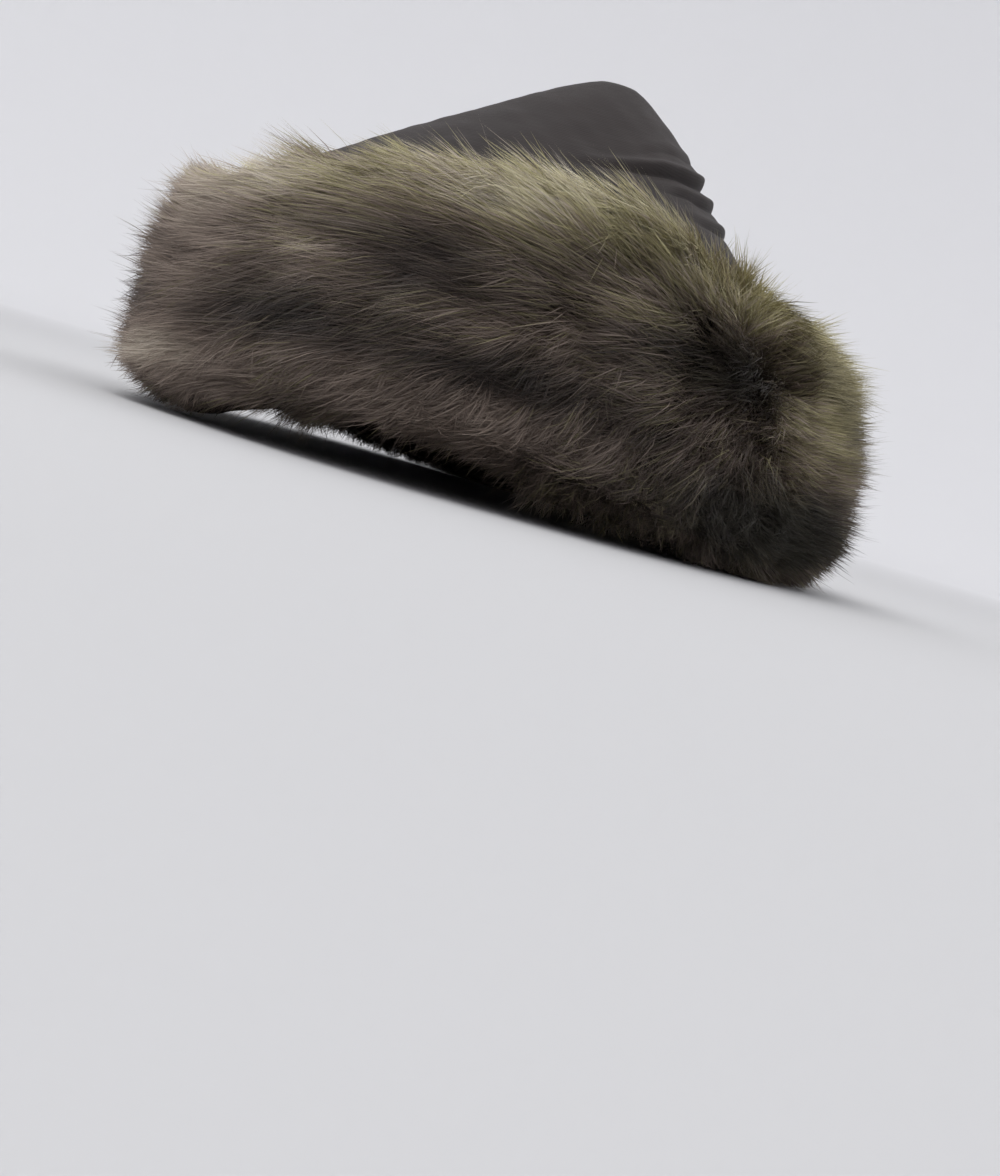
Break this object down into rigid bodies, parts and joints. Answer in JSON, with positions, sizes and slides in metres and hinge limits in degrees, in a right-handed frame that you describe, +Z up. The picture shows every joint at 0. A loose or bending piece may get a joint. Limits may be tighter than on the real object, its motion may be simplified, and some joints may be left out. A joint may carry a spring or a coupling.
{
  "type": "fur-trimmed hat",
  "caption": "Soft peaked cloth hat with draped folds at the back and a deep turned-up fur cuff all round, standing on its rim.",
  "frame": {"origin": "on the surface that the hat rests on, under the middle of its outline", "axes": "+Z up, -Y to the front of the hat, +X to the wearer's left"},
  "size_m": [0.2366, 0.27, 0.144],
  "materials": {
    "crown_cloth": "dark taupe satin-weave cloth with a soft sheen and fine pull lines",
    "fur": "long dense fur, grey-brown with khaki tips and near-black partings"
  },
  "bodies": {
    "root": {"crown": "crown_cloth", "fur_cuff": "fur"}
  },
  "joints": []
}
